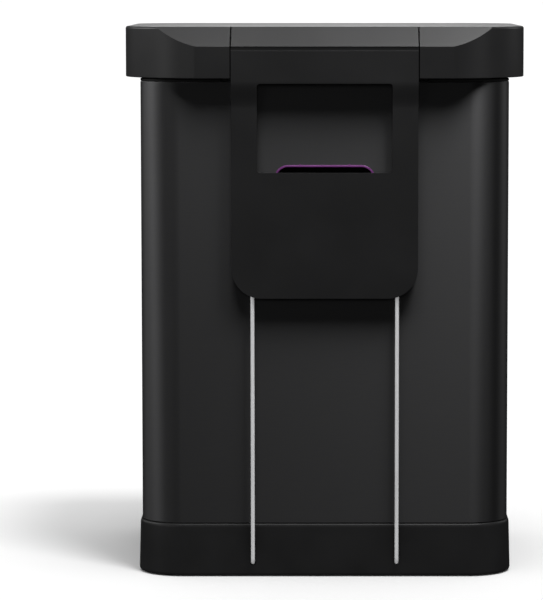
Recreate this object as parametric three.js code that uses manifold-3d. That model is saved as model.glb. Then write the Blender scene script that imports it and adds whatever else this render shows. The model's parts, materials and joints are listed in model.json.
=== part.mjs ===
// Manual kitchen trash compactor: a tall bin whose front handle slides down two rods and
// drives a compaction plate into the inner bucket. Millimetres, +Z up, the front faces -Y,
// and the origin is on the floor under the middle of the object.
import * as THREE from 'three';
import { mergeVertices } from 'three/addons/utils/BufferGeometryUtils.js';
import Module from 'manifold-3d';

const wasm = await Module();
wasm.setup();

// ---- driving dimensions -------------------------------------------------------------
const GAP = 0.3;                 // clearance between neighbouring pieces
const HALF = 0.5;
const MIRROR = [-1, 1];          // left and right copies
const CORNER_STEPS = 7;          // facets in each plan corner
const HEIGHT = 515;
const LID = { halfX: 188.5, halfY: 152.5, corner: 52, steps: 12, bottom: 467.5, wall: 3, top: 2.5 };
// the lid's front corners: one wide arc that meets the flat front at a slight kink
const KINK = { x: 119, angle: THREE.MathUtils.degToRad(12) };
LID.sweep = { kink: KINK.angle, radius: (LID.halfX - KINK.x) / (1 - Math.sin(KINK.angle)) };
const BEVEL = { drop: 18, run: 18, over: 8 };
const BODY = { halfX: 173, halfY: 138.5, corner: 38.5, wall: 1.2, bottom: 50.3, top: 464 };
const BODY_FRONT = -BODY.halfY;
const BODY_INNER_FRONT = BODY_FRONT + BODY.wall + GAP;
const PLINTH = { halfX: 176, halfY: 141.5, corner: 41.5, bottom: 1, top: 50, floor: 6, wall: 3.8 };
// [inset, z] up the outside of the plinth: small foot radius, slight draft, rounded shoulder
const PLINTH_SIDE = [[2.4, PLINTH.bottom], [0.7, 1.6], [0, 3.4], [1.1, 46.6], [1.5, 48.4],
  [2.4, 49.5], [3.6, PLINTH.top]];
const PLINTH_LIP = { top: 58, thick: 2.5, foot: 45, chamferFoot: 43 };
const COLLAR = { low: 452, flange: 464.3, top: 466.5, thick: 2.5, cutX: 96.5, bridgeX: 72.5,
  gateDepth: 30 };
const MOUTH = { halfX: 161, halfY: 124, corner: 34, y: 4 };
const PAD = { radius: 13, height: 3.7, x: 135, y: 105, recessTop: 4 };
const ROD = { x: 67.4, y: -143.5, radius: 1.8, low: 13.5, high: 274, bend: 4, innerY: -132.4 };
const ROD_BOSS = { radius: 5, thick: 1.4, plinthClearance: 0.7 };
const ROD_NUT = { radius: 3.6, length: 2.6, lowerY: -137.4 };
const FLAP = { halfX: 86.75, front: -147.3, back: -141.6, bottom: 263, top: 496.6, corner: 28 };
const FLAP_HEAD = { front: -152.5, stepLow: 440, stepHigh: 465, rebateZ: 493, rebate: 1 };
const WINDOW = { halfX: 62.8, low: 380, high: 462.8, corner: 3 };
const GROOVE = { halfX: 2.3, depthY: -145.7, top: 492 };
const BACK_COVER = { halfX: 61.7, low: 272.3, high: 373.7, thick: 1.2, cavity: 3 };
const POCKET = { halfX: 47, halfZ: 36, corner: 13, z: 351, rim: 1.85, wall: 1.8, hole: 0.4,
  sleeve: 0.8, sleeveY: -134, backY: -121.5, stand: 1 };
const NUB = { x: 23, radius: 0.9 };
const ARM = { x: 77, thick: 2, slot: 3.2, low: 474, high: 498, flangeX: 86, flangeFront: -141.3,
  legFront: -105, legBack: -98, shoulderY: -88, shoulderZ: 472, endY: 98, endZ: 464 };
const BEAM = { frontY: -112, backY: -102, low: 476, high: 492, wall: 2 };
const SLOT_BOTTOM = 276;         // lower end of the slots that the arms run down in
const ROLLER = { radius: 6, bore: 2.3, innerX: 84, outerX: 91, z: [480, 493], play: 0.35 };
const RAIL = { innerX: 82, outerX: 94, frontY: BODY_INNER_FRONT, wall: 1.5, low: 268, top: 463 };
RAIL.backY = RAIL.frontY + 2 * (RAIL.wall + ROLLER.play + ROLLER.radius);
ROLLER.y = (RAIL.frontY + RAIL.backY) * HALF;
const AXLE = { radius: 2, headRadius: 3.4, innerX: 73.9, headEnd: 75.7, outerX: 91.9 };
const BUCKET = { halfX: 158, halfY: 122, corner: 34, y: 4, bottom: 64, top: 469.3, wall: 2.2,
  taper: 3.5, rimOut: 6, reliefX: [72.5, 97] };
const LINER = { halfX: 163, halfY: 127, corner: 38, y: 4, width: 6, height: 3, openTo: -95 };
const PLATE = { halfX: 150, halfY: 112, corner: 34, y: 2, bottom: 450, rim: 466, sheet: 2,
  edge: 1.5 };
const HOLES = { columns: 6, rows: 4, pitchX: 44, pitchY: 46, radius: 3 };
const HINGE = { x: 90, y: 145, z: 472, knuckle: 3.6, pin: 1.5, bore: 1.8, body: 6, lid: 15.5,
  neck: 2.8, plate: 1.8, leaf: 2.3, low: 446, high: 500, room: 6, roomTop: 5 };
const PANEL = { halfX: 181, halfY: 138, corner: 60, y: 10, low: 503, high: 505, chamfer: 0.8 };
const FILTER = { halfX: 50, lowY: 10, highY: 80, low: 488.6, high: 502.4, wall: 3.2, slots: 7,
  slotHalf: 2.2, slotEnd: 6 };
const LID_NOTCH = { halfX: 87.8, backY: -134.2 };
const SHELL_SHIFT = 2.1;         // moves the bevel in by a wall's thickness
const NOSE_THICK = 4.2;
const RECESS = { frontY: -138.6, thick: 2, halfX: 90.1, cheekTop: 495, top: 506, slotOver: 1.5 };
const BUMPER = { x: 169, y: 70, radius: 3.6 };

// ---- solids -------------------------------------------------------------------------
function solidOf(geometry) {
  const bare = geometry.clone();
  bare.deleteAttribute('normal');
  bare.deleteAttribute('uv');
  const merged = mergeVertices(bare, 1e-4);
  return new wasm.Manifold(new wasm.Mesh({
    numProp: 3,
    vertProperties: new Float32Array(merged.attributes.position.array),
    triVerts: new Uint32Array(merged.index.array),
  }));
}

function geometryOf(solid) {
  const mesh = solid.getMesh();
  const geometry = new THREE.BufferGeometry();
  geometry.setAttribute('position', new THREE.BufferAttribute(mesh.vertProperties, 3));
  geometry.setIndex(new THREE.BufferAttribute(mesh.triVerts, 1));
  geometry.computeVertexNormals();
  return geometry;
}

const middle = ([low, high]) => (low + high) * HALF;
const span = ([low, high]) => high - low;

function block(x, y, z) {
  const box = new THREE.BoxGeometry(span(x), span(y), span(z));
  return solidOf(box.translate(middle(x), middle(y), middle(z)));
}

// the same range on the left (-1) or right (+1) side
const onSide = (side, low, high) => (side > 0 ? [low, high] : [-high, -low]);

function barX(radius, x, y, z, sides = 20) {
  const bar = new THREE.CylinderGeometry(radius, radius, span(x), sides).rotateZ(Math.PI / 2);
  return solidOf(bar.translate(middle(x), y, z));
}

function barY(radius, x, y, z, sides = 20) {
  const bar = new THREE.CylinderGeometry(radius, radius, span(y), sides);
  return solidOf(bar.translate(x, middle(y), z));
}

function barZ(radius, x, y, z, sides = 24) {
  const bar = new THREE.CylinderGeometry(radius, radius, span(z), sides).rotateX(Math.PI / 2);
  return solidOf(bar.translate(x, y, middle(z)));
}

function extrude(shape, depth) {
  return new THREE.ExtrudeGeometry(shape, { depth, bevelEnabled: false, curveSegments: 6 });
}

// outline points are [y, z]; the solid runs over the x range
function prismX(points, x) {
  const shape = new THREE.Shape(points.map(([y, z]) => new THREE.Vector2(y, z)));
  const turn = new THREE.Matrix4().makeBasis(
    new THREE.Vector3(0, 1, 0), new THREE.Vector3(0, 0, 1), new THREE.Vector3(1, 0, 0));
  return solidOf(extrude(shape, span(x)).applyMatrix4(turn).translate(x[0], 0, 0));
}

// a flat shape drawn in x and z; the solid runs over the y range
function prismY(shape, y) {
  const turn = new THREE.Matrix4().makeBasis(
    new THREE.Vector3(1, 0, 0), new THREE.Vector3(0, 0, 1), new THREE.Vector3(0, -1, 0));
  return solidOf(extrude(shape, span(y)).applyMatrix4(turn).translate(0, y[1], 0));
}

function roundedShape(halfX, halfZ, radius, centreZ) {
  const shape = new THREE.Shape();
  const low = centreZ - halfZ;
  const high = centreZ + halfZ;
  shape.moveTo(-halfX + radius, low);
  shape.lineTo(halfX - radius, low);
  shape.absarc(halfX - radius, low + radius, radius, -Math.PI / 2, 0);
  shape.lineTo(halfX, high - radius);
  shape.absarc(halfX - radius, high - radius, radius, 0, Math.PI / 2);
  shape.lineTo(-halfX + radius, high);
  shape.absarc(-halfX + radius, high - radius, radius, Math.PI / 2, Math.PI);
  shape.lineTo(-halfX, low + radius);
  shape.absarc(-halfX + radius, low + radius, radius, Math.PI, Math.PI * 1.5);
  return shape;
}

// a rounded rectangle in plan, anticlockwise from above, at height z; a plan with a sweep has
// wide front corners
function planRing(plan, inset, z) {
  const steps = plan.steps ?? CORNER_STEPS;
  const ring = [];
  for (let corner = 0; corner < 4; corner += 1) {
    const signX = corner === 0 || corner === 3 ? 1 : -1;
    const signY = corner < 2 ? 1 : -1;
    const bend = signY < 0 && plan.sweep ? plan.sweep : { radius: plan.corner, kink: 0 };
    const radius = Math.max(bend.radius - inset, HALF);
    const centreX = signX * (plan.halfX - inset - radius);
    const reachY = (inset + radius) * Math.cos(bend.kink);
    const centreY = (plan.y ?? 0) + signY * (plan.halfY - reachY);
    const start = corner * Math.PI / 2 + (corner === 3 ? bend.kink : 0);
    for (let step = 0; step <= steps; step += 1) {
      const angle = start + (Math.PI / 2 - bend.kink) * step / steps;
      const x = centreX + radius * Math.cos(angle);
      const y = centreY + radius * Math.sin(angle);
      ring.push(new THREE.Vector3(x, y, z));
    }
  }
  return ring;
}

// joins rings of equal length into one closed body; closed = the last ring meets the first
function loft(rings, closed = false) {
  const count = rings[0].length;
  const triangles = [];
  const pairs = closed ? rings.length : rings.length - 1;
  for (let level = 0; level < pairs; level += 1) {
    const below = rings[level];
    const above = rings[(level + 1) % rings.length];
    for (let j = 0; j < count; j += 1) {
      const next = (j + 1) % count;
      triangles.push(below[j], below[next], above[next], below[j], above[next], above[j]);
    }
  }
  if (!closed) {
    const [first, last] = [rings[0], rings[rings.length - 1]];
    for (let j = 1; j < count - 1; j += 1) {
      triangles.push(first[0], first[j + 1], first[j], last[0], last[j], last[j + 1]);
    }
  }
  return solidOf(new THREE.BufferGeometry().setFromPoints(triangles));
}

// profile entries are [inset from the plan, z]
function planSolid(plan, profile, closed = false) {
  return loft(profile.map(([inset, z]) => planRing(plan, inset, z)), closed);
}

const cut = (solid, ...tools) => tools.reduce((left, tool) => left.subtract(tool), solid);
const join = (solid, ...others) => others.reduce((left, other) => left.add(other), solid);

// ---- the object ---------------------------------------------------------------------
const compactor = new THREE.Group();

const FINISH = {
  paint: { color: 0x1c1c1d, roughness: 0.45, metalness: 0.2 },
  satin: { color: 0x1c1c1d, roughness: 0.45, metalness: 0 },
  plastic: { color: 0x1a1a1b, roughness: 0.6, metalness: 0 },
  pale: { color: 0x4a4b4d, roughness: 0.6, metalness: 0 },
  steel: { color: 0xc4c5c6, roughness: 0.2, metalness: 1 },
  purple: { color: 0x682d6d, roughness: 0.45, metalness: 0 },
  rubber: { color: 0x121212, roughness: 0.85, metalness: 0 },
  nylon: { color: 0xd8d5cc, roughness: 0.5, metalness: 0 },
  carbon: { color: 0x2b2d2b, roughness: 0.95, metalness: 0 },
};

function place(name, solid, finish) {
  const mesh = new THREE.Mesh(geometryOf(solid), new THREE.MeshStandardMaterial(FINISH[finish]));
  mesh.name = name;
  compactor.add(mesh);
}

const sideName = (side) => (side < 0 ? 'left' : 'right');

// ---- base and body ------------------------------------------------------------------
function basePlinth() {
  const { top, thick, foot, chamferFoot } = PLINTH_LIP;
  const inset = PLINTH.halfX - (BODY.halfX - BODY.wall - GAP);
  const inside = [[inset, PLINTH.top], [inset, top], [inset + thick, top], [inset + thick, foot],
    [PLINTH.wall, chamferFoot], [PLINTH.wall, PLINTH.floor]];
  let plinth = planSolid(PLINTH, [...PLINTH_SIDE, ...inside]);
  for (const sideX of MIRROR) {
    for (const sideY of MIRROR) {
      const recess = [PLINTH.bottom - 1, PAD.recessTop];
      plinth = cut(plinth, barZ(PAD.radius + GAP, sideX * PAD.x, sideY * PAD.y, recess));
    }
    const bore = [-PLINTH.halfY - 1, ROD.innerY];
    const clear = ROD.radius + ROD_BOSS.plinthClearance;
    plinth = cut(plinth, barY(clear, sideX * ROD.x, bore, ROD.low));
  }
  return plinth;
}

function footPads() {
  let number = 1;
  for (const sideX of MIRROR) {
    for (const sideY of MIRROR) {
      const pad = barZ(PAD.radius, sideX * PAD.x, sideY * PAD.y, [0, PAD.height]);
      place(`foot_pad_${number}`, pad, 'rubber');
      number += 1;
    }
  }
}

// the slot that a carriage arm runs down in, through everything in the y range
function armSlot(side, y, z) {
  return block(onSide(side, ARM.x - ARM.slot * HALF, ARM.x + ARM.slot * HALF), y, z);
}

function outerShell() {
  const profile = [[BODY.wall, BODY.bottom], [0, BODY.bottom], [0, BODY.top],
    [BODY.wall, BODY.top]];
  const front = [BODY_FRONT - 1, BODY_FRONT + BODY.wall + 1];
  const { halfX, halfZ, corner, z, hole } = POCKET;
  const opening = roundedShape(halfX - hole, halfZ - hole, corner, z);
  let shell = cut(planSolid(BODY, profile, true), prismY(opening, front));
  for (const side of MIRROR) {
    const bore = barY(ROD.radius + GAP, side * ROD.x, front, ROD.high);
    shell = cut(shell, bore, armSlot(side, front, [SLOT_BOTTOM, BODY.top + 1]));
  }
  return shell;
}

function topCollar() {
  const skirtInset = BODY.wall + GAP;
  const flange = planSolid(BODY, [[0, COLLAR.flange], [0, COLLAR.top]]);
  const skirt = planSolid(BODY, [[skirtInset, COLLAR.low], [skirtInset, COLLAR.flange + 1]]);
  const hollowInset = skirtInset + COLLAR.thick;
  const hollow = planSolid(BODY, [[hollowInset, COLLAR.low - 1], [hollowInset, COLLAR.flange]]);
  const opening = planSolid(MOUTH, [[0, COLLAR.low - 1], [0, COLLAR.top + 1]]);
  const gate = block([-COLLAR.cutX, COLLAR.cutX], [BODY_FRONT - 1, BODY_FRONT + COLLAR.gateDepth],
    [COLLAR.low - 1, COLLAR.top + 1]);
  return cut(join(flange, skirt), hollow, opening, gate);
}

function collarFront() {
  const x = [-COLLAR.bridgeX, COLLAR.bridgeX];
  const ledge = block(x, [BODY_FRONT, MOUTH.y - MOUTH.halfY], [COLLAR.flange, COLLAR.top]);
  const skirt = block(x, [BODY_INNER_FRONT, BODY_INNER_FRONT + COLLAR.thick],
    [COLLAR.low, COLLAR.flange + 1]);
  return join(ledge, skirt);
}

// a round bar along a path that stays at one x; entries are [y, z, direction angle]
function bentBar(x, path, radius, sides = 12) {
  const rings = path.map(([y, z, heading]) => {
    const ring = [];
    for (let side = 0; side < sides; side += 1) {
      const angle = side / sides * Math.PI * 2;
      const across = radius * Math.cos(angle);
      const out = radius * Math.sin(angle);
      ring.push(new THREE.Vector3(
        x + across, y - out * Math.sin(heading), z + out * Math.cos(heading)));
    }
    return ring.reverse();
  });
  return loft(rings);
}

function guideRod(side) {
  const steps = 6;
  const [low, high] = [ROD.low + ROD.bend, ROD.high - ROD.bend];
  const bendY = ROD.y + ROD.bend;
  const path = [[ROD.innerY, ROD.low, Math.PI]];
  for (let step = 0; step <= steps; step += 1) {
    const turn = step / steps * Math.PI / 2;
    const y = bendY - ROD.bend * Math.sin(turn);
    path.push([y, low - ROD.bend * Math.cos(turn), Math.PI - turn]);
  }
  for (let step = 0; step <= steps; step += 1) {
    const turn = step / steps * Math.PI / 2;
    const y = bendY - ROD.bend * Math.cos(turn);
    path.push([y, high + ROD.bend * Math.sin(turn), Math.PI / 2 - turn]);
  }
  path.push([ROD.innerY, ROD.high, 0]);
  return bentBar(side * ROD.x, path, ROD.radius);
}

function ringY(outer, inner, x, y, z) {
  return cut(barY(outer, x, y, z), barY(inner, x, [y[0] - 1, y[1] + 1], z));
}

function rodFixings(side) {
  const name = sideName(side);
  const x = side * ROD.x;
  const bore = ROD.radius + GAP;
  const washer = [BODY_FRONT - GAP - ROD_BOSS.thick, BODY_FRONT - GAP];
  place(`rod_boss_${name}`, ringY(ROD_BOSS.radius, bore, x, washer, ROD.high), 'plastic');
  const upper = [BODY_INNER_FRONT, BODY_INNER_FRONT + ROD_NUT.length];
  place(`rod_nut_upper_${name}`, ringY(ROD_NUT.radius, bore, x, upper, ROD.high), 'steel');
  const lower = [ROD_NUT.lowerY, ROD_NUT.lowerY + ROD_NUT.length];
  place(`rod_nut_lower_${name}`, ringY(ROD_NUT.radius, bore, x, lower, ROD.low), 'steel');
}

// ---- finger pocket in the body's front ----------------------------------------------
function pocketFrame(inset, y) {
  const { halfX, halfZ, corner, z } = POCKET;
  return prismY(roundedShape(halfX - inset, halfZ - inset, corner - inset, z), y);
}

function pocketSurround() {
  const { halfZ, rim, sleeve, sleeveY, stand, z } = POCKET;
  const front = BODY_FRONT - stand;
  const lipY = [front, BODY_FRONT - GAP];
  let lip = pocketFrame(0, lipY);
  for (const side of MIRROR) {
    lip = join(lip, barY(NUB.radius, side * NUB.x, lipY, z + halfZ, 8));
  }
  const tube = pocketFrame(sleeve, [front + GAP, sleeveY]);
  return cut(join(lip, tube), pocketFrame(rim, [front - 1, sleeveY + 1]));
}

function pocketCup() {
  const { wall, sleeve, sleeveY, backY } = POCKET;
  const outside = pocketFrame(sleeve, [sleeveY + GAP, backY]);
  return cut(outside, pocketFrame(sleeve + wall, [sleeveY - 1, backY - wall]));
}

// ---- inside the body ----------------------------------------------------------------
function innerRail(side) {
  const { innerX, outerX, frontY, backY, wall, low, top } = RAIL;
  const bar = block(onSide(side, innerX, outerX), [frontY, backY], [low, top]);
  const channel = block(onSide(side, innerX - 1, outerX - wall),
    [frontY + wall, backY - wall], [low - 1, top + 1]);
  return cut(bar, channel);
}

function innerBucket() {
  const { bottom, top, wall, halfY, y, taper, rimOut, reliefX } = BUCKET;
  const rimLow = COLLAR.top + GAP;
  const profile = [[taper + 2, bottom], [taper, bottom + 2], [0, rimLow], [-rimOut, rimLow],
    [-rimOut, top], [wall, top], [wall + taper, bottom + wall]];
  const front = y - halfY;
  const rimFront = front - rimOut - 1;
  let bucket = planSolid(BUCKET, profile);
  for (const side of MIRROR) {
    const relief = block(onSide(side, ...reliefX), [rimFront, front - HALF],
      [COLLAR.top - 1, top + 1]);
    const slot = armSlot(side, [rimFront, front + wall + taper + 1], [SLOT_BOTTOM, top + 1]);
    bucket = cut(bucket, relief, slot);
  }
  return bucket;
}

function linerFrame() {
  const { halfX, halfY, width, height, openTo } = LINER;
  const low = BUCKET.top + GAP;
  const high = low + height;
  const ring = planSolid(LINER, [[width, low], [0, low], [0, high], [width, high]], true);
  return cut(ring, block([-halfX - 1, halfX + 1], [-halfY, openTo], [low - 1, high + 1]));
}

// ---- rear hinge ---------------------------------------------------------------------
function hingeBracket(side) {
  const x = onSide(side, HINGE.x - HINGE.body, HINGE.x + HINGE.body);
  const rear = BODY.halfY + GAP;
  const leaf = block(x, [rear, rear + HINGE.plate], [HINGE.low, HINGE.z + HINGE.neck]);
  const neck = block(x, [rear, HINGE.y], [HINGE.z - HINGE.neck, HINGE.z + HINGE.neck]);
  const bore = barX(HINGE.bore, [x[0] - 1, x[1] + 1], HINGE.y, HINGE.z);
  return cut(join(leaf, neck, barX(HINGE.knuckle, x, HINGE.y, HINGE.z)), bore);
}

function hingePin(side) {
  const x = onSide(side, HINGE.x - HINGE.lid - 1, HINGE.x + HINGE.lid + 1);
  return barX(HINGE.pin, x, HINGE.y, HINGE.z, 14);
}

function lidHingeLeaf(side) {
  const x = onSide(side, HINGE.x - HINGE.lid, HINGE.x + HINGE.lid);
  const innerSkirt = LID.halfY - LID.wall - GAP;
  const leaf = block(x, [innerSkirt - HINGE.leaf, innerSkirt], [HINGE.z, HINGE.high]);
  const knuckle = barX(HINGE.knuckle, x, HINGE.y, HINGE.z);
  const room = block(onSide(side, HINGE.x - HINGE.body - GAP, HINGE.x + HINGE.body + GAP),
    [HINGE.y - HINGE.room, HINGE.y + HINGE.room], [HINGE.z - HINGE.room, HINGE.z + HINGE.roomTop]);
  const bore = barX(HINGE.bore, [x[0] - 1, x[1] + 1], HINGE.y, HINGE.z);
  return cut(join(leaf, knuckle), room, bore);
}

// ---- lid ----------------------------------------------------------------------------
// everything in front of and above the bevel; shift moves it in by the wall for the inside
function bevelCutter(shift) {
  const backY = -LID.halfY + BEVEL.run + shift;
  const farY = -LID.halfY - BEVEL.over + shift;
  const high = HEIGHT + BEVEL.over;
  const lowZ = HEIGHT - BEVEL.drop / BEVEL.run * (backY - farY) - shift;
  return prismX([[farY, lowZ], [backY, HEIGHT - shift], [backY, high], [farY, high]],
    [-LID.halfX, LID.halfX]);
}

function lidCover() {
  const { wall, bottom, top } = LID;
  const outside = planSolid(LID, [[0, bottom], [0, HEIGHT]]);
  const hollow = planSolid(LID, [[wall, bottom - 1], [wall, HEIGHT - top]]);
  const notch = block([-LID_NOTCH.halfX, LID_NOTCH.halfX], [-LID.halfY - 1, LID_NOTCH.backY],
    [bottom - 1, HEIGHT + 1]);
  const room = cut(hollow, bevelCutter(SHELL_SHIFT));
  return cut(outside, bevelCutter(0), room, notch);
}

function lidNose() {
  const [frontY, backY] = [-LID.halfY, -LID.halfY + BEVEL.run];
  const low = HEIGHT - BEVEL.drop;
  const section = [[frontY, low], [backY, HEIGHT], [backY, HEIGHT - NOSE_THICK],
    [frontY + NOSE_THICK, low]];
  return prismX(section, [-FLAP.halfX, FLAP.halfX]);
}

function lidRecessWall() {
  const low = LID.bottom + GAP;
  const backY = RECESS.frontY + RECESS.thick;
  const cheekFront = -LID.halfY + LID.wall + GAP;
  const wall = block([-LID_NOTCH.halfX, LID_NOTCH.halfX], [RECESS.frontY, backY],
    [low, RECESS.top]);
  const tub = block([-RECESS.halfX, RECESS.halfX], [cheekFront, backY], [low, RECESS.cheekTop]);
  const roomX = RECESS.halfX - RECESS.thick;
  const inside = block([-roomX, roomX], [cheekFront - 1, RECESS.frontY],
    [low - 1, RECESS.cheekTop + 1]);
  const slots = MIRROR.map((side) => armSlot(side, [RECESS.frontY - 1, backY + 1],
    [low - 1, ARM.high + RECESS.slotOver]));
  return cut(join(cut(tub, inside), wall), ...slots);
}

function lidInnerPanel() {
  const { low, high, chamfer } = PANEL;
  return planSolid(PANEL, [[chamfer, low], [0, low + chamfer], [0, high]]);
}

function filterCover() {
  const { halfX, lowY, highY, low, wall, slots, slotHalf, slotEnd } = FILTER;
  const top = PANEL.low - GAP;
  const edge = wall + GAP;
  const box = block([-halfX - edge, halfX + edge], [lowY - edge, highY + edge],
    [low - wall, top]);
  const room = block([-halfX - GAP, halfX + GAP], [lowY - GAP, highY + GAP], [low - GAP, top + 1]);
  let cover = cut(box, room);
  const pitch = (highY - lowY) / slots;
  for (let slot = 0; slot < slots; slot += 1) {
    const centre = lowY + (slot + HALF) * pitch;
    cover = cut(cover, block([-halfX + slotEnd, halfX - slotEnd],
      [centre - slotHalf, centre + slotHalf], [low - wall - 1, low]));
  }
  return cover;
}

function odourFilter() {
  const { halfX, lowY, highY, low, high } = FILTER;
  return block([-halfX, halfX], [lowY, highY], [low, high]);
}

function lidBumpers() {
  let number = 1;
  for (const sideX of MIRROR) {
    for (const sideY of MIRROR) {
      const post = barZ(BUMPER.radius, sideX * BUMPER.x, sideY * BUMPER.y,
        [COLLAR.top + GAP, PANEL.low - GAP], 16);
      place(`lid_bumper_${number}`, post, 'rubber');
      number += 1;
    }
  }
}

// ---- handle and compaction carriage -------------------------------------------------
function flapSection() {
  const { front: headY, stepLow, stepHigh, rebateZ, rebate } = FLAP_HEAD;
  const steps = 7;
  const points = [[FLAP.back, FLAP.bottom], [FLAP.front, FLAP.bottom]];
  for (let step = 0; step <= steps; step += 1) {
    const along = step / steps;
    const ease = (1 - Math.cos(Math.PI * along)) * HALF;
    points.push([FLAP.front + (headY - FLAP.front) * ease, stepLow + (stepHigh - stepLow) * along]);
  }
  points.push([headY, rebateZ], [headY + rebate, rebateZ], [headY + rebate, FLAP.top]);
  points.push([FLAP.back, FLAP.top]);
  return points;
}

function flapOutline() {
  const { halfX, bottom, corner } = FLAP;
  const top = FLAP.top + 1;
  const shape = new THREE.Shape();
  shape.moveTo(-halfX + corner, bottom);
  shape.lineTo(halfX - corner, bottom);
  shape.absarc(halfX - corner, bottom + corner, corner, -Math.PI / 2, 0);
  shape.lineTo(halfX, top);
  shape.lineTo(-halfX, top);
  shape.lineTo(-halfX, bottom + corner);
  shape.absarc(-halfX + corner, bottom + corner, corner, Math.PI, Math.PI * 1.5);
  return shape;
}

function handleFlap() {
  const depth = [FLAP_HEAD.front - 1, FLAP.back + 1];
  const half = (WINDOW.high - WINDOW.low) * HALF;
  const hole = roundedShape(WINDOW.halfX, half, WINDOW.corner, WINDOW.low + half);
  const body = prismX(flapSection(), [-FLAP.halfX, FLAP.halfX]);
  let flap = cut(body.intersect(prismY(flapOutline(), depth)), prismY(hole, depth));
  for (const side of MIRROR) {
    const groove = onSide(side, ROD.x - GROOVE.halfX, ROD.x + GROOVE.halfX);
    flap = cut(flap, block(groove, [GROOVE.depthY, FLAP.back + 1], [FLAP.bottom - 1, GROOVE.top]));
  }
  const recessX = BACK_COVER.halfX + GAP;
  return cut(flap, block([-recessX, recessX], [FLAP.back - BACK_COVER.cavity, FLAP.back + 1],
    [BACK_COVER.low - GAP, BACK_COVER.high + GAP]));
}

function handleBackCover() {
  return block([-BACK_COVER.halfX, BACK_COVER.halfX], [FLAP.back - BACK_COVER.thick, FLAP.back],
    [BACK_COVER.low, BACK_COVER.high]);
}

function carriageArm(side) {
  const flangeBack = ARM.flangeFront + ARM.thick;
  const sheet = onSide(side, ARM.x - ARM.thick * HALF, ARM.x + ARM.thick * HALF);
  const restZ = PLATE.bottom + PLATE.sheet + GAP;
  const profile = [[ARM.flangeFront, ARM.low], [ARM.legFront, ARM.low], [ARM.legFront, restZ],
    [ARM.endY, restZ], [ARM.endY, ARM.endZ], [ARM.shoulderY, ARM.shoulderZ],
    [ARM.legBack, ARM.high], [ARM.flangeFront, ARM.high]];
  const flange = block(onSide(side, ARM.x, ARM.flangeX), [ARM.flangeFront, flangeBack],
    [ARM.low, ARM.high]);
  let arm = join(prismX(profile, sheet), flange);
  for (const z of ROLLER.z) {
    arm = cut(arm, barX(AXLE.radius + GAP, [sheet[0] - 1, sheet[1] + 1], ROLLER.y, z));
  }
  return arm;
}

function crossBeam() {
  const reach = ARM.x - ARM.thick * HALF - GAP;
  const bar = block([-reach, reach], [BEAM.frontY, BEAM.backY], [BEAM.low, BEAM.high]);
  const channel = block([-reach - 1, reach + 1], [BEAM.frontY + BEAM.wall, BEAM.backY + 1],
    [BEAM.low + BEAM.wall, BEAM.high - BEAM.wall]);
  return cut(bar, channel);
}

function compactionPlate() {
  const { bottom, rim, sheet, edge } = PLATE;
  const profile = [[edge, bottom], [0, bottom + edge], [0, rim], [sheet, rim],
    [sheet, bottom + sheet]];
  let plate = planSolid(PLATE, profile);
  const { columns, rows, pitchX, pitchY, radius } = HOLES;
  for (let column = 0; column < columns; column += 1) {
    for (let row = 0; row < rows; row += 1) {
      const x = (column - (columns - 1) * HALF) * pitchX;
      const y = PLATE.y + (row - (rows - 1) * HALF) * pitchY;
      plate = cut(plate, barZ(radius, x, y, [bottom - 1, bottom + sheet + 1], 10));
    }
  }
  return plate;
}

function rollerSet(side) {
  const name = sideName(side);
  ROLLER.z.forEach((z, index) => {
    const tread = barX(ROLLER.radius, onSide(side, ROLLER.innerX, ROLLER.outerX), ROLLER.y, z, 24);
    const bore = barX(ROLLER.bore, onSide(side, ROLLER.innerX - 1, ROLLER.outerX + 1),
      ROLLER.y, z, 16);
    place(`guide_roller_${name}_${index + 1}`, cut(tread, bore), 'nylon');
    const shaft = barX(AXLE.radius, onSide(side, AXLE.innerX, AXLE.outerX), ROLLER.y, z, 16);
    const head = barX(AXLE.headRadius, onSide(side, AXLE.innerX, AXLE.headEnd), ROLLER.y, z, 16);
    place(`roller_axle_${name}_${index + 1}`, join(shaft, head), 'steel');
  });
}

// ---- assembly -----------------------------------------------------------------------
place('base_plinth', basePlinth(), 'plastic');
footPads();
place('outer_shell', outerShell(), 'paint');
place('top_collar', topCollar(), 'plastic');
place('collar_front', collarFront(), 'plastic');
place('pocket_surround', pocketSurround(), 'purple');
place('pocket_cup', pocketCup(), 'plastic');
place('inner_bucket', innerBucket(), 'pale');
place('liner_frame', linerFrame(), 'plastic');
place('lid_cover', lidCover(), 'satin');
place('lid_nose', lidNose(), 'satin');
place('lid_recess_wall', lidRecessWall(), 'plastic');
place('lid_inner_panel', lidInnerPanel(), 'plastic');
place('odour_filter', odourFilter(), 'carbon');
place('filter_cover', filterCover(), 'pale');
lidBumpers();
place('handle_flap', handleFlap(), 'satin');
place('handle_back_cover', handleBackCover(), 'plastic');
place('cross_beam', crossBeam(), 'steel');
place('compaction_plate', compactionPlate(), 'steel');
for (const side of MIRROR) {
  const name = sideName(side);
  place(`guide_rod_${name}`, guideRod(side), 'steel');
  rodFixings(side);
  place(`inner_rail_${name}`, innerRail(side), 'steel');
  place(`hinge_bracket_${name}`, hingeBracket(side), 'steel');
  place(`hinge_pin_${name}`, hingePin(side), 'steel');
  place(`lid_hinge_leaf_${name}`, lidHingeLeaf(side), 'steel');
  place(`carriage_arm_${name}`, carriageArm(side), 'steel');
  rollerSet(side);
}

export default compactor;
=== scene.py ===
"""Looks of a hand-worked kitchen trash compactor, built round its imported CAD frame."""
import json
import math

import bmesh
import bpy
from mathutils import Matrix, Vector

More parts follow.
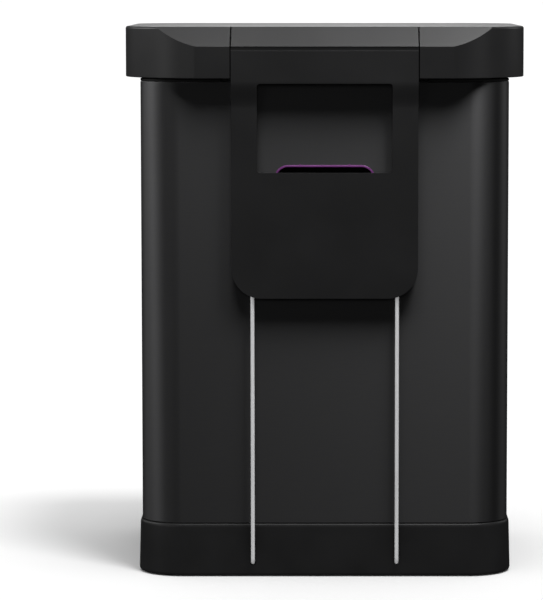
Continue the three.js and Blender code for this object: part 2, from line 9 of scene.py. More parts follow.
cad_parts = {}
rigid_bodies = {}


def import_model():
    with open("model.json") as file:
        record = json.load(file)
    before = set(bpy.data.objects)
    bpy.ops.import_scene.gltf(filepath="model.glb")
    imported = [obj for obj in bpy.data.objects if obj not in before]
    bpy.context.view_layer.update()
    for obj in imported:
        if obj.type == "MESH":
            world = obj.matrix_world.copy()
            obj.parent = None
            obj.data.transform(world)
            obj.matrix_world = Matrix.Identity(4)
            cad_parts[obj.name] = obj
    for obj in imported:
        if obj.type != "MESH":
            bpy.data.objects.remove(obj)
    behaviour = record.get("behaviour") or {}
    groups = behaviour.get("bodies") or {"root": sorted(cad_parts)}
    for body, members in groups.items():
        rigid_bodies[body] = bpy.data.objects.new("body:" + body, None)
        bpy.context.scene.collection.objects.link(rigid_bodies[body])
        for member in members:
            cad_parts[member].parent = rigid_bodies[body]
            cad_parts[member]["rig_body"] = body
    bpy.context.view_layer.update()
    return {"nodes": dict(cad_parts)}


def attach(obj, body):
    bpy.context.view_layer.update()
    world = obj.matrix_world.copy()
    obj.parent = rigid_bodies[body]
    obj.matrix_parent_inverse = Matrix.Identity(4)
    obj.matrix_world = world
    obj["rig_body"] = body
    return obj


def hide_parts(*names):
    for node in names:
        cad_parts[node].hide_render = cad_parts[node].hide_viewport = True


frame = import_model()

# ---- driving dimensions, millimetres as in the CAD ------------------------------------
MM = 0.001
HEIGHT = 515.0
CORNER_STEPS = 28
LID = {"half_x": 188.5, "half_y": 152.5, "corner": 52.0, "low": 467.5, "wall": 3.0, "top": 2.5,
       "fillet": 2.2, "chamfer": 0.6}
# the lid's front corners: one wide arc that meets the flat front at a slight kink
KINK = {"x": 119.0, "angle": 12.0}
LID["sweep"] = (LID["half_x"] - KINK["x"]) / (1 - math.sin(math.radians(KINK["angle"])))
BEVEL = {"drop": 18.0, "run": 18.0, "over": 8.0, "hollow_shift": 2.1}
NOSE_THICK = 4.2
NOTCH = {"half_x": 87.8, "back": -134.2}
BODY = {"half_x": 173.0, "half_y": 138.5, "corner": 38.5, "wall": 1.2, "low": 50.3, "top": 464.0}
PLINTH = {"half_x": 176.0, "half_y": 141.5, "corner": 41.5, "wall": 3.8, "floor": 6.0}
# [inset, z] up the outside of the plinth: foot radius, slight draft, rounded shoulder
PLINTH_SIDE = [(2.4, 1.0), (1.2, 1.25), (0.45, 1.9), (0.1, 2.9), (0, 4.0), (1.1, 46.4),
               (1.3, 47.9), (1.8, 49.1), (2.6, 49.8), (3.6, 50.0)]
PLINTH_LIP = {"top": 58.0, "thick": 2.5, "foot": 45.0, "chamfer_foot": 43.0}
PAD_RECESS = {"x": 135.0, "y": 105.0, "radius": 13.3, "top": 4.0}
GAP = 0.3
ROD = {"x": 67.4, "y": -143.5, "radius": 1.8, "low": 13.5, "high": 274.0, "bend": 4.0,
       "inner_end": -132.4, "plinth_clearance": 0.7}
GROOVE = {"half_x": 2.3, "depth_y": -145.7, "top": 492.0}
COVER_CAVITY = {"half_x": 62.0, "low": 272.0, "high": 374.0, "depth": 3.0}
FLAP = {"half_x": 86.75, "front": -147.3, "back": -141.6, "low": 263.0, "top": 496.6,
        "corner": 28.0}
HEAD = {"front": -152.5, "step_low": 440.0, "step_high": 465.0, "rebate_z": 493.0, "rebate": 1.0,
        "slope": 0.4}
WINDOW = {"half_x": 62.8, "low": 380.0, "high": 462.8, "corner": 3.0}
POCKET = {"half_x": 47.0, "half_z": 36.0, "corner": 13.0, "z": 351.0, "rim": 1.85, "hole": 0.4,
          "sleeve": 0.8, "sleeve_y": -134.0, "stand": 1.0, "edge": 0.35}
NUB = {"x": 23.0, "radius": 0.9, "recess": 0.05}
ARM_SLOT = {"x": 77.0, "half_x": 1.6, "low": 276.0}
PAST = 1.0                       # how far a cutting tool reaches past what it cuts


# ---- materials --------------------------------------------------------------------------
NOISE_SPAN = (0.3, 0.7)          # the range that most of a noise's values lie in


def new_material(name, color, roughness, metallic=0.0, specular=0.5):
    material = bpy.data.materials.new(name)
    material.use_nodes = True
    shader = material.node_tree.nodes["Principled BSDF"]
    shader.inputs["Base Color"].default_value = (*color, 1.0)
    shader.inputs["Roughness"].default_value = roughness
    shader.inputs["Metallic"].default_value = metallic
    shader.inputs["Specular IOR Level"].default_value = specular
    return material, shader


def add_noise(material, scale, detail, stretch=(1.0, 1.0, 1.0)):
    """An object-space noise; scale is in features per metre."""
    nodes, links = material.node_tree.nodes, material.node_tree.links
    place = nodes.new("ShaderNodeTexCoord")
    mapping = nodes.new("ShaderNodeMapping")
    mapping.inputs["Scale"].default_value = stretch
    noise = nodes.new("ShaderNodeTexNoise")
    noise.inputs["Scale"].default_value = scale
    noise.inputs["Detail"].default_value = detail
    links.new(place.outputs["Object"], mapping.inputs["Vector"])
    links.new(mapping.outputs["Vector"], noise.inputs["Vector"])
    return noise


def spread(material, source, socket, low, high):
    """Drives a number socket between low and high by a noise."""
    nodes, links = material.node_tree.nodes, material.node_tree.links
    ramp = nodes.new("ShaderNodeMapRange")
    ramp.inputs["From Min"].default_value = NOISE_SPAN[0]
    ramp.inputs["From Max"].default_value = NOISE_SPAN[1]
    ramp.inputs["To Min"].default_value = low
    ramp.inputs["To Max"].default_value = high
    links.new(source, ramp.inputs["Value"])
    links.new(ramp.outputs["Result"], socket)


def tint(material, source, shader, dark, light):
    """Drives the base colour between two near colours by a noise."""
    nodes, links = material.node_tree.nodes, material.node_tree.links
    ramp = nodes.new("ShaderNodeValToRGB")
    ramp.color_ramp.elements[0].position = NOISE_SPAN[0]
    ramp.color_ramp.elements[1].position = NOISE_SPAN[1]
    ramp.color_ramp.elements[0].color = (*dark, 1.0)
    ramp.color_ramp.elements[1].color = (*light, 1.0)
    links.new(source, ramp.inputs["Fac"])
    links.new(ramp.outputs["Color"], shader.inputs["Base Color"])


def add_bump(material, source, shader, strength, distance):
    nodes, links = material.node_tree.nodes, material.node_tree.links
    bump = nodes.new("ShaderNodeBump")
    bump.inputs["Strength"].default_value = strength
    bump.inputs["Distance"].default_value = distance
    links.new(source, bump.inputs["Height"])
    links.new(bump.outputs["Normal"], shader.inputs["Normal"])


def shade(color, factor):
    return tuple(part * factor for part in color)


def satin_paint(name, color, roughness, specular):
    """Powder paint: a faint orange peel and cloudy changes of gloss."""
    material, shader = new_material(name, color, roughness, specular=specular)
    cloud = add_noise(material, 14.0, 4.0).outputs["Fac"]
    tint(material, cloud, shader, shade(color, 0.86), shade(color, 1.14))
    spread(material, cloud, shader.inputs["Roughness"], roughness - 0.025, roughness + 0.025)
    peel = add_noise(material, 1100.0, 2.0).outputs["Fac"]
    add_bump(material, peel, shader, 0.10, 0.00004)
    return material


def moulded(name, color, roughness, specular=0.35):
    """Injection moulding with a fine spark-eroded grain."""
    material, shader = new_material(name, color, roughness, specular=specular)
    cloud = add_noise(material, 22.0, 3.0).outputs["Fac"]
    tint(material, cloud, shader, shade(color, 0.88), shade(color, 1.12))
    spread(material, cloud, shader.inputs["Roughness"], roughness - 0.04, roughness + 0.04)
    grain = add_noise(material, 1900.0, 2.0).outputs["Fac"]
    add_bump(material, grain, shader, 0.25, 0.00006)
    return material


def metal(name, color, roughness, stretch, scale, bump, metallic=1.0):
    """Steel with drawn or brushed lines along one direction."""
    material, shader = new_material(name, color, roughness, metallic=metallic)
    lines = add_noise(material, scale, 4.0, stretch).outputs["Fac"]
    tint(material, lines, shader, shade(color, 0.92), shade(color, 1.04))
    spread(material, lines, shader.inputs["Roughness"], roughness * 0.8, roughness * 1.25)
    add_bump(material, lines, shader, bump, 0.00003)
    return material


def brushed_black(name, color, roughness, anisotropy):
    """Black stainless sheet with a fine horizontal grain, which draws highlights out upright."""
    material, shader = new_material(name, color, roughness, metallic=1.0)
    nodes, links = material.node_tree.nodes, material.node_tree.links
    shader.inputs["Anisotropic"].default_value = anisotropy
    shader.inputs["Anisotropic Rotation"].default_value = 0.25
    around = nodes.new("ShaderNodeTangent")
    around.direction_type = "RADIAL"
    around.axis = "Z"
    links.new(around.outputs["Tangent"], shader.inputs["Tangent"])
    grain = add_noise(material, 2600.0, 3.0, (0.02, 0.02, 1.0)).outputs["Fac"]
    tint(material, grain, shader, shade(color, 0.97), shade(color, 1.03))
    cloud = add_noise(material, 9.0, 3.0).outputs["Fac"]
    spread(material, cloud, shader.inputs["Roughness"], roughness - 0.02, roughness + 0.02)
    return material


def foam(name, color):
    """Open carbon foam with deep pores."""
    material, shader = new_material(name, color, 0.95, specular=0.1)
    pores = add_noise(material, 650.0, 5.0).outputs["Fac"]
    tint(material, pores, shader, shade(color, 0.3), shade(color, 1.6))
    add_bump(material, pores, shader, 0.9, 0.0006)
    return material


def rubber(name, color):
    material, shader = new_material(name, color, 0.8, specular=0.25)
    mottle = add_noise(material, 320.0, 4.0).outputs["Fac"]
    tint(material, mottle, shader, shade(color, 0.75), shade(color, 1.35))
    spread(material, mottle, shader.inputs["Roughness"], 0.72, 0.88)
    add_bump(material, mottle, shader, 0.3, 0.00012)
    return material


PAINT = satin_paint("black_satin_paint", (0.0100, 0.0100, 0.0104), 0.40, 0.30)
BLACK_STEEL = brushed_black("black_brushed_steel", (0.098, 0.098, 0.100), 0.62, 0.8)
PLINTH_MOULDING = moulded("black_plinth_moulding", (0.0100, 0.0100, 0.0104), 0.46, 0.26)
# painted shade: the collar's black plastic gets a darker base and less gloss than the other
# mouldings, so it sits in shade below the lid
COLLAR_PAINTED_SHADE = moulded("collar_painted_shade", (0.004, 0.004, 0.004), 0.65, 0.12)
MOULDING = moulded("black_moulding", (0.012, 0.012, 0.0125), 0.55)
# partly painted shade: the pocket cup is black plastic, but its near-zero base and gloss stand in for
# the shade deep in the pocket
POCKET_PAINTED_SHADE = moulded("pocket_painted_shade", (0.002, 0.002, 0.002), 0.8, 0.05)
GREY = moulded("grey_moulding", (0.085, 0.087, 0.09), 0.5)
PURPLE = moulded("purple_moulding", (0.135, 0.026, 0.150), 0.42, 0.4)
# painted reflection: the rods' steel has low metalness and a light grey base, so its diffuse colour
# stands in for the bright surroundings that it reflects
ROD_STEEL_PAINTED_REFLECTION = metal("polished_steel", (0.80, 0.80, 0.81), 0.28, (1.0, 1.0, 0.02), 900.0, 0.03, 0.3)
BRUSHED = metal("brushed_steel", (0.56, 0.56, 0.57), 0.3, (0.03, 1.0, 1.0), 900.0, 0.08)
ZINC = metal("zinc_plate", (0.5, 0.5, 0.51), 0.36, (1.0, 1.0, 1.0), 160.0, 0.06)
RUBBER = rubber("black_rubber", (0.016, 0.016, 0.016))
NYLON = moulded("natural_nylon", (0.62, 0.60, 0.54), 0.45, 0.4)
FOAM = foam("carbon_foam", (0.02, 0.021, 0.02))


# ---- mesh building ----------------------------------------------------------------------
def mesh_object(name, bm):
    bmesh.ops.recalc_face_normals(bm, faces=bm.faces)
    mesh = bpy.data.meshes.new(name)
    bm.to_mesh(mesh)
    bm.free()
    thing = bpy.data.objects.new(name, mesh)
    bpy.context.scene.collection.objects.link(thing)
    return thing


def to_metres(point):
    return Vector(point) * MM


def loft(name, rings, closed=False):
    """Joins rings of equal length; closed joins the last ring to the first."""
    bm = bmesh.new()
    rows = [[bm.verts.new(to_metres(point)) for point in ring] for ring in rings]
    pairs = list(zip(rows, rows[1:]))
    if closed:
        pairs.append((rows[-1], rows[0]))
    count = len(rows[0])
    for below, above in pairs:
        for j in range(count):
            k = (j + 1) % count
            bm.faces.new((below[j], below[k], above[k], above[j]))
    if not closed:
        bm.faces.new(rows[0])
        bm.faces.new(rows[-1])
    return mesh_object(name, bm)


def block(x, y, z):
    ring = [(x[0], y[0]), (x[1], y[0]), (x[1], y[1]), (x[0], y[1])]
    return loft("block", [[(px, py, pz) for px, py in ring] for pz in z])


def arc(centre_a, centre_b, radius, start, end, steps):
    """Points on an arc, angles in degrees."""
    points = []
    for step in range(steps + 1):
        angle = math.radians(start + (end - start) * step / steps)
        points.append((centre_a + radius * math.cos(angle), centre_b + radius * math.sin(angle)))
    return points


def prism_x(points, x):
    return loft("prism", [[(px, a, b) for a, b in points] for px in x])


def prism_y(points, y):
    return loft("prism", [[(a, py, b) for a, b in points] for py in y])


def bar_y(radius, x, y, z, sides=32):
    circle = arc(x, z, radius, 0, 360, sides)[:-1]
    return prism_y(circle, y)


def on_side(side, low, high):
    return (low, high) if side > 0 else (-high, -low)


def plan_outline(plan, inset=0.0, steps=CORNER_STEPS):
    """A rounded rectangle in plan, anticlockwise from above.

    A plan with a sweep has front corners of that radius, which meet the front at a kink.
    """
    points = []
    for corner, (sign_x, sign_y) in enumerate(((1, 1), (-1, 1), (-1, -1), (1, -1))):
        swept = sign_y < 0 and "sweep" in plan
        radius = max((plan["sweep"] if swept else plan["corner"]) - inset, 0.5)
        kink = KINK["angle"] if swept else 0.0
        centre_x = plan["half_x"] - inset - radius
        centre_y = plan["half_y"] - (inset + radius) * math.cos(math.radians(kink))
        start = corner * 90.0 + (kink if corner == 3 else 0.0)
        points += arc(sign_x * centre_x, plan.get("y", 0.0) + sign_y * centre_y, radius,
                      start, start + 90.0 - kink, steps)
    return points


def plan_solid(name, plan, profile, closed=False, steps=CORNER_STEPS):
    rings = [[(x, y, z) for x, y in plan_outline(plan, inset, steps)] for inset, z in profile]
    return loft(name, rings, closed)


def rounded_outline(half_x, half_z, radius, centre_z, steps=10):
    plan = {"half_x": half_x, "half_y": half_z, "corner": radius, "y": centre_z}
    return plan_outline(plan, 0.0, steps)


def bake(thing):
    """Applies the piece's modifiers."""
    graph = bpy.context.evaluated_depsgraph_get()
    mesh = bpy.data.meshes.new_from_object(thing.evaluated_get(graph))
    old = thing.data
    thing.modifiers.clear()
    thing.data = mesh
    bpy.data.meshes.remove(old)
    return thing


def combine(thing, tool, operation):
    modifier = thing.modifiers.new("combine", "BOOLEAN")
    modifier.operation = operation
    modifier.solver = "EXACT"
    modifier.object = tool
    bake(thing)
    bpy.data.objects.remove(tool)
    return thing


def cut(thing, *tools):
    for tool in tools:
        combine(thing, tool, "DIFFERENCE")
    return thing


def join(thing, *tools):
    for tool in tools:
        combine(thing, tool, "UNION")
    return thing


def clean(thing, angle=0.3):
    """Merges the slivers that cutting leaves on flat faces."""
    bm = bmesh.new()
    bm.from_mesh(thing.data)
    bmesh.ops.remove_doubles(bm, verts=bm.verts, dist=2e-6)
    bmesh.ops.dissolve_limit(bm, angle_limit=math.radians(angle), verts=bm.verts, edges=bm.edges)
    bm.to_mesh(thing.data)
    bm.free()
    return thing


def soften(thing, width, segments=2, angle=32.0):
    """Rounds every edge sharper than the angle."""
    modifier = thing.modifiers.new("soften", "BEVEL")
    modifier.width = width * MM
    modifier.segments = segments
    modifier.limit_method = "ANGLE"
    modifier.angle_limit = math.radians(angle)
    return bake(thing)


def smooth(thing, angle=40.0):
    """Smooth shading that keeps hard edges and flat faces flat."""
    mesh = thing.data
    mesh.polygons.foreach_set("use_smooth", [True] * len(mesh.polygons))
    mesh.set_sharp_from_angle(angle=math.radians(angle))
    modifier = thing.modifiers.new("weighted", "WEIGHTED_NORMAL")
    modifier.keep_sharp = True
    return bake(thing)


def finish_piece(thing, name, body, material, slot, *nodes):
    thing.name = name
    thing.data.name = name
    thing.data.materials.clear()
    thing.data.materials.append(material)
    for polygon in thing.data.polygons:
        polygon.material_index = 0
    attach(thing, body)
    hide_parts(*nodes)
    return thing


# ---- lid --------------------------------------------------------------------------------
def bevel_cutter(shift):
    """Everything in front of and above the bevel; shift moves it in by the wall."""
    back = -LID["half_y"] + BEVEL["run"] + shift
    far = -LID["half_y"] - BEVEL["over"] + shift
    high = HEIGHT + BEVEL["over"]
    low = HEIGHT - BEVEL["drop"] / BEVEL["run"] * (back - far) - shift
    section = [(far, low), (back, HEIGHT - shift), (back, high), (far, high)]
    return prism_x(section, (-LID["half_x"], LID["half_x"]))


def lid_cover():
    fillet = LID["fillet"]
    rim = [(fillet - across, HEIGHT - fillet + up)
           for across, up in arc(0.0, 0.0, fillet, 0, 90, 6)]
    foot = [(LID["chamfer"], LID["low"]), (0.0, LID["low"] + LID["chamfer"])]
    lid = plan_solid("lid", LID, foot + rim, steps=60)
    cut(lid, bevel_cutter(0.0))
    soften(lid, 0.5, 3, 20.0)
    wall = LID["wall"]
    hollow = plan_solid("hollow", LID, [(wall, LID["low"] - PAST), (wall, HEIGHT - LID["top"])])
    cut(hollow, bevel_cutter(BEVEL["hollow_shift"]))
    notch = block((-NOTCH["half_x"], NOTCH["half_x"]), (-LID["half_y"] - PAST, NOTCH["back"]),
                  (LID["low"] - PAST, HEIGHT + PAST))
    cut(lid, hollow, notch)
    return finish_piece(smooth(lid), "lid_cover_shell", "lid", PAINT, "black_satin_plastic",
                        "lid_cover")


def lid_nose():
    front, back = -LID["half_y"], -LID["half_y"] + BEVEL["run"]
    low = HEIGHT - BEVEL["drop"]
    section = [(front, low), (back, HEIGHT), (back, HEIGHT - NOSE_THICK), (front + NOSE_THICK, low)]
    nose = soften(prism_x(section, (-FLAP["half_x"], FLAP["half_x"])), 0.5, 3)
    return finish_piece(smooth(nose), "lid_nose_cap", "lid", PAINT,
                        "black_satin_plastic", "lid_nose")


# ---- handle -----------------------------------------------------------------------------
def flap_section():
    steps = 24
    points = [(FLAP["back"], FLAP["low"]), (FLAP["front"], FLAP["low"])]
    for step in range(steps + 1):
        along = step / steps
        ease = (1 - math.cos(math.pi * along)) / 2
        y = FLAP["front"] + (HEAD["front"] - FLAP["front"]) * ease
        points.append((y, HEAD["step_low"] + (HEAD["step_high"] - HEAD["step_low"]) * along))
    step_back = HEAD["front"] + HEAD["rebate"]
    points += [(HEAD["front"], HEAD["rebate_z"]), (step_back, HEAD["rebate_z"] + HEAD["slope"]),
               (step_back, FLAP["top"]), (FLAP["back"], FLAP["top"])]
    return points


def flap_outline():
    half, radius, low = FLAP["half_x"], FLAP["corner"], FLAP["low"]
    right = arc(half - radius, low + radius, radius, -90, 0, 24)
    left = arc(-half + radius, low + radius, radius, 180, 270, 24)
    return right + [(half, FLAP["top"] + PAST), (-half, FLAP["top"] + PAST)] + left


def handle_flap():
    deep = (HEAD["front"] - PAST, FLAP["back"] + PAST)
    half = (WINDOW["high"] - WINDOW["low"]) / 2
    flap = prism_x(flap_section(), (-FLAP["half_x"], FLAP["half_x"]))
    combine(flap, prism_y(flap_outline(), deep), "INTERSECT")
    hole = rounded_outline(WINDOW["half_x"], half, WINDOW["corner"], WINDOW["low"] + half, 6)
    cut(flap, prism_y(hole, deep))
    clean(flap)
    soften(flap, 0.7, 3, 38.0)
    for side in (-1, 1):
        x = on_side(side, ROD["x"] - GROOVE["half_x"], ROD["x"] + GROOVE["half_x"])
        groove_y = (GROOVE["depth_y"], FLAP["back"] + PAST)
        cut(flap, block(x, groove_y, (FLAP["low"] - PAST, GROOVE["top"])))
    cavity_x = (-COVER_CAVITY["half_x"], COVER_CAVITY["half_x"])
    cavity_y = (FLAP["back"] - COVER_CAVITY["depth"], FLAP["back"] + PAST)
    cut(flap, block(cavity_x, cavity_y, (COVER_CAVITY["low"], COVER_CAVITY["high"])))
    return finish_piece(smooth(flap), "handle_flap_skin", "carriage", PAINT,
                        "black_satin_plastic", "handle_flap")


# ---- body and plinth --------------------------------------------------------------------
def outer_shell():
    wall, low, top = BODY["wall"], BODY["low"], BODY["top"]
    fillet = 0.6
    profile = [(wall, low), (fillet, low), (0, low + fillet), (0, top - fillet), (fillet, top),
               (wall, top)]
    shell = plan_solid("shell", BODY, profile, True)
    front = (-BODY["half_y"] - PAST, -BODY["half_y"] + wall + PAST)
    opening = rounded_outline(POCKET["half_x"] - POCKET["hole"], POCKET["half_z"] - POCKET["hole"],
                              POCKET["corner"], POCKET["z"])
    cut(shell, prism_y(opening, front))
    for side in (-1, 1):
        slot_x = on_side(side, ARM_SLOT["x"] - ARM_SLOT["half_x"], ARM_SLOT["x"] + ARM_SLOT["half_x"])
        cut(shell, block(slot_x, front, (ARM_SLOT["low"], top + PAST)))
        cut(shell, bar_y(ROD["radius"] + GAP, side * ROD["x"], front, ROD["high"]))
    return finish_piece(smooth(shell), "outer_shell_skin", "root", BLACK_STEEL, "black_paint",
                        "outer_shell")


def base_plinth():
    lip = PLINTH["half_x"] - (BODY["half_x"] - BODY["wall"] - GAP)
    lip_inside = lip + PLINTH_LIP["thick"]
    shoulder = PLINTH_SIDE[-1][1]
    inside = [(lip, shoulder), (lip, PLINTH_LIP["top"]), (lip_inside, PLINTH_LIP["top"]),
              (lip_inside, PLINTH_LIP["foot"]), (PLINTH["wall"], PLINTH_LIP["chamfer_foot"]),
              (PLINTH["wall"], PLINTH["floor"])]
    plinth = plan_solid("plinth", PLINTH, PLINTH_SIDE + inside)
    for side_x in (-1, 1):
        for side_y in (-1, 1):
            circle = arc(side_x * PAD_RECESS["x"], side_y * PAD_RECESS["y"], PAD_RECESS["radius"],
                         0, 360, 48)[:-1]
            heights = (0.0, PAD_RECESS["top"])
            cut(plinth, loft("recess", [[(x, y, z) for x, y in circle] for z in heights]))
        bore_y = (-PLINTH["half_y"] - PAST, ROD["inner_end"])
        bore_radius = ROD["radius"] + ROD["plinth_clearance"]
        cut(plinth, bar_y(bore_radius, side_x * ROD["x"], bore_y, ROD["low"]))
    return finish_piece(smooth(plinth, 50.0), "base_plinth_moulding", "root", PLINTH_MOULDING,
                        "black_plastic", "base_plinth")


def guide_rod(side):
    name = "left" if side < 0 else "right"
    bend, inner, sides, steps = ROD["bend"], ROD["inner_end"], 28, 12
    turns = [math.pi / 2 * step / steps for step in range(steps + 1)]
    path = [(inner, ROD["low"], math.pi)]
    path += [(ROD["y"] + bend - bend * math.sin(t), ROD["low"] + bend - bend * math.cos(t),
              math.pi - t) for t in turns]
    path += [(ROD["y"] + bend - bend * math.cos(t), ROD["high"] - bend + bend * math.sin(t),
              math.pi / 2 - t) for t in turns]
    path.append((inner, ROD["high"], 0.0))
    rings = []
    for y, z, heading in path:
        ring = []
        for across, out in arc(0, 0, ROD["radius"], 0, 360, sides)[:-1]:
            ring.append((side * ROD["x"] + across, y - out * math.sin(heading),
                         z + out * math.cos(heading)))
        rings.append(ring)
    rod = smooth(loft("rod", rings), 50.0)
    # the rod's material carries painted reflection in its light base colour
    return finish_piece(rod, "guide_rod_bar_" + name, "root", ROD_STEEL_PAINTED_REFLECTION, "polished_steel",
                        "guide_rod_" + name)


def pocket_surround():
    half_x, half_z, corner = POCKET["half_x"], POCKET["half_z"], POCKET["corner"]
    rim, sleeve, edge, inner_end = (POCKET[key] for key in ("rim", "sleeve", "edge", "sleeve_y"))
    front, seat = -BODY["half_y"] - POCKET["stand"], -BODY["half_y"] - GAP
    shape = [(edge, front), (0.0, front + edge), (0.0, seat), (sleeve, seat), (sleeve, inner_end),
             (rim, inner_end), (rim, front + edge), (rim - edge, front)]
    rings = []
    for inset, y in shape:
        outline = rounded_outline(half_x - inset, half_z - inset, corner - inset, POCKET["z"], 14)
        rings.append([(x, y, z) for x, z in outline])
    surround = loft("surround", rings, True)
    for side in (-1, 1):
        lip = (front + NUB["recess"], seat)
        join(surround, bar_y(NUB["radius"], side * NUB["x"], lip, POCKET["z"] + half_z, 20))
    return finish_piece(smooth(surround), "pocket_surround_rim", "root", PURPLE,
                        "purple_plastic", "pocket_surround")


# ---- pieces that keep their CAD shape, with softened edges --------------------------------
def refined(node, material, slot, width):
    """A copy of a CAD node with rounded edges and smooth round faces."""
    source = frame["nodes"][node]
    thing = bpy.data.objects.new(node + "_fine", source.data.copy())
    bpy.context.scene.collection.objects.link(thing)
    clean(thing, 0.5)
    soften(thing, width, 2, 35.0)
    return finish_piece(smooth(thing), node + "_fine", source["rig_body"], material, slot, node)


# (first letters of the nodes' names, material, slot, width of the rounded edge)
REFINED = (
    ("foot_pad_", RUBBER, "rubber", 0.6),
    ("lid_bumper_", RUBBER, "rubber", 0.6),
    ("guide_roller_", NYLON, "nylon", 0.5),
    ("roller_axle_", ZINC, "plated_steel", 0.3),
    ("rod_boss_", MOULDING, "black_plastic", 0.3),
    ("rod_nut_", ZINC, "plated_steel", 0.3),
    ("inner_rail_", ZINC, "plated_steel", 0.3),
    ("hinge_", ZINC, "plated_steel", 0.3),
    ("lid_hinge_leaf_", ZINC, "plated_steel", 0.3),
    ("carriage_arm_", BRUSHED, "plated_steel", 0.3),
    ("cross_beam", BRUSHED, "brushed_steel", 0.4),
    ("compaction_plate", BRUSHED, "brushed_steel", 0.5),
    ("inner_bucket", GREY, "grey_plastic", 0.5),
    ("filter_cover", GREY, "grey_plastic", 0.4),
    ("odour_filter", FOAM, "carbon_foam", 0.8),
    # the collar pieces carry painted shade: a darker black than the other mouldings
    ("top_collar", COLLAR_PAINTED_SHADE, "black_plastic", 0.3),
    ("collar_front", COLLAR_PAINTED_SHADE, "black_plastic", 0.3),
    ("liner_frame", MOULDING, "black_plastic", 0.5),
    ("lid_recess_wall", MOULDING, "black_plastic", 0.3),
    ("lid_inner_panel", MOULDING, "black_plastic", 0.4),
    ("handle_back_cover", MOULDING, "black_plastic", 0.3),
    # the pocket cup carries painted shade for the deep pocket
    ("pocket_cup", POCKET_PAINTED_SHADE, "black_plastic", 0.4),
)


def refine_the_rest():
    for prefix, material, slot, width in REFINED:
        for node in sorted(frame["nodes"]):
            if node.startswith(prefix) and not (prefix == "hinge_" and "leaf" in node):
                refined(node, material, slot, width)


# ---- camera, stage and light --------------------------------------------------------------
# the world's strength to the camera, to the floor and to reflections
ROOM = {"seen": 1.05, "fill": 0.62, "reflected": 0.02}
FLOOR = {"half": 60.0, "color": (0.9, 0.9, 0.9), "roughness": 0.9, "specular": 0.1}
SUN_DISTANCE, SUN_AIM = 3.0, 0.28
CAMERA = {"x": 0.0, "y": -3.1475, "z": 0.556, "pitch": 5.60, "lens": 194.4, "shift_x": -0.0887}


def place_camera():
    data = bpy.data.cameras.new("camera")
    data.sensor_width = 36.0
    data.lens = CAMERA["lens"]
    data.shift_x = CAMERA["shift_x"]
    data.clip_end = 400.0
    camera = bpy.data.objects.new("camera", data)
    camera.location = (CAMERA["x"], CAMERA["y"], CAMERA["z"])
    camera.rotation_euler = (math.radians(90 - CAMERA["pitch"]), 0.0, 0.0)
    bpy.context.scene.collection.objects.link(camera)
    bpy.context.scene.camera = camera


def aim_light(light, azimuth, elevation, distance, aim):
    """Azimuth 0 is in front of the object and 90 to its right, as the camera sees it."""
    a, e = math.radians(azimuth), math.radians(elevation)
    away = Vector((math.sin(a) * math.cos(e), -math.cos(a) * math.cos(e), math.sin(e)))
    light.location = Vector((0, 0, aim)) + away * distance
    light.rotation_mode = "QUATERNION"
    light.rotation_quaternion = away.to_track_quat("Z", "Y")
    bpy.context.scene.collection.objects.link(light)


def area_light(name, azimuth, elevation, distance, size, power, aim):
    data = bpy.data.lights.new(name, "AREA")
    data.shape = "SQUARE"
    data.size = size
    data.energy = power
    light = bpy.data.objects.new(name, data)
    light.visible_camera = False
    aim_light(light, azimuth, elevation, distance, aim)
    return light


def sun(name, azimuth, elevation, strength, softness):
    data = bpy.data.lights.new(name, "SUN")
    data.energy = strength
    data.angle = math.radians(softness)
    light = bpy.data.objects.new(name, data)
    aim_light(light, azimuth, elevation, SUN_DISTANCE, SUN_AIM)
    return light


def share_lights(floor, lights, state):
    """INCLUDE leaves the lights to the floor alone, and EXCLUDE keeps them off it."""
    group = bpy.data.collections.new("floor_" + state.lower())
    group.objects.link(floor)
    group.collection_objects[0].light_linking.link_state = state
    for light in lights:
        light.light_linking.receiver_collection = group


def place_stage():
    half = FLOOR["half"]
    bm = bmesh.new()
    corners = [(-half, -half, 0), (half, -half, 0), (half, half, 0), (-half, half, 0)]
    bm.faces.new([bm.verts.new(corner) for corner in corners])
    floor = mesh_object("floor", bm)
    material, _ = new_material("pale_floor", FLOOR["color"], FLOOR["roughness"],
                               specular=FLOOR["specular"])
    floor.data.materials.append(material)
    floor.visible_glossy = False
    floor.visible_diffuse = False
    return floor


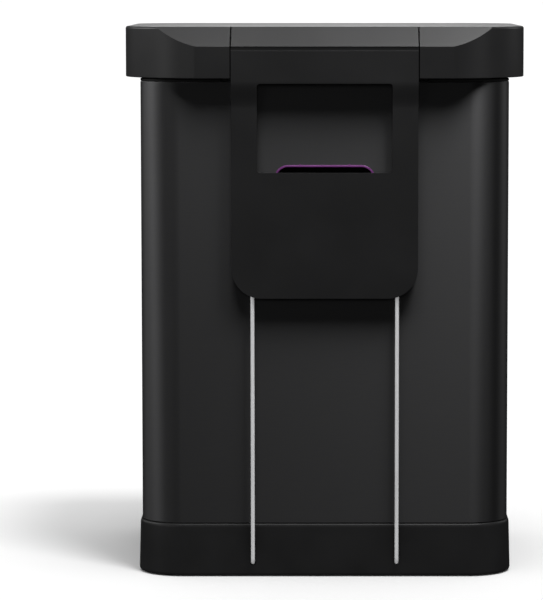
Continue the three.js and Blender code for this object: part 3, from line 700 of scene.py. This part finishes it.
def place_world():
    """White to the camera, a soft fill for the floor, and nearly dark to reflections."""
    world = bpy.data.worlds.new("studio")
    bpy.context.scene.world = world
    world.use_nodes = True
    nodes, links = world.node_tree.nodes, world.node_tree.links
    background = nodes["Background"]
    background.inputs["Color"].default_value = (1.0, 1.0, 1.0, 1.0)
    path = nodes.new("ShaderNodeLightPath")
    source = None
    for output, value in (("Is Glossy Ray", ROOM["reflected"]), ("Is Camera Ray", ROOM["seen"])):
        choose = nodes.new("ShaderNodeMix")
        choose.inputs["A"].default_value = ROOM["fill"]
        choose.inputs["B"].default_value = value
        if source is not None:
            links.new(source, choose.inputs["A"])
        links.new(path.outputs[output], choose.inputs["Factor"])
        source = choose.outputs["Result"]
    links.new(source, background.inputs["Strength"])


# (name, azimuth, elevation, strength, softness), angles in degrees
FLOOR_SUNS = (
    ("floor_key", 36, 64, 1.25, 14),
    ("floor_high", 20, 80, 0.9, 30),
)
# (name, azimuth, elevation, distance, size, power, height of the aim), degrees, metres, watts
SOFTBOXES = (
    ("key_softbox", 46, 56, 0.9, 0.30, 10.0, 0.50),
    ("high_softbox", 12, 62, 0.8, 0.26, 1.0, 0.45),
    ("left_high_softbox", -20, 60, 0.8, 0.26, 2.0, 0.45),
    ("top_back_softbox", 180, 35, 2.5, 0.8, 14.0, 0.28),
    ("front_low_softbox", 0, 14, 2.5, 0.7, 1.0, 0.28),
    ("left_side_softbox", -90, 20, 1.2, 0.4, 5.0, 0.50),
    ("left_back_softbox", -120, 20, 2.5, 0.8, 6.0, 0.28),
    ("left_front_softbox", -36, 14, 2.5, 0.7, 3.5, 0.28),
    ("left_low_softbox", -66, 8, 2.5, 0.8, 4.5, 0.28),
    ("right_back_softbox", 120, 20, 2.5, 0.8, 5.0, 0.28),
    ("right_low_softbox", 60, 8, 2.5, 0.7, 2.0, 0.28),
)


def place_lights(floor):
    share_lights(floor, [sun(*row) for row in FLOOR_SUNS], "INCLUDE")
    share_lights(floor, [area_light(*row) for row in SOFTBOXES], "EXCLUDE")


# ---- assembly -----------------------------------------------------------------------------
bpy.context.scene.view_settings.view_transform = "Standard"
place_camera()
place_world()
place_lights(place_stage())
lid_cover()
lid_nose()
handle_flap()
outer_shell()
base_plinth()
pocket_surround()
for rod_side in (-1, 1):
    guide_rod(rod_side)
refine_the_rest()
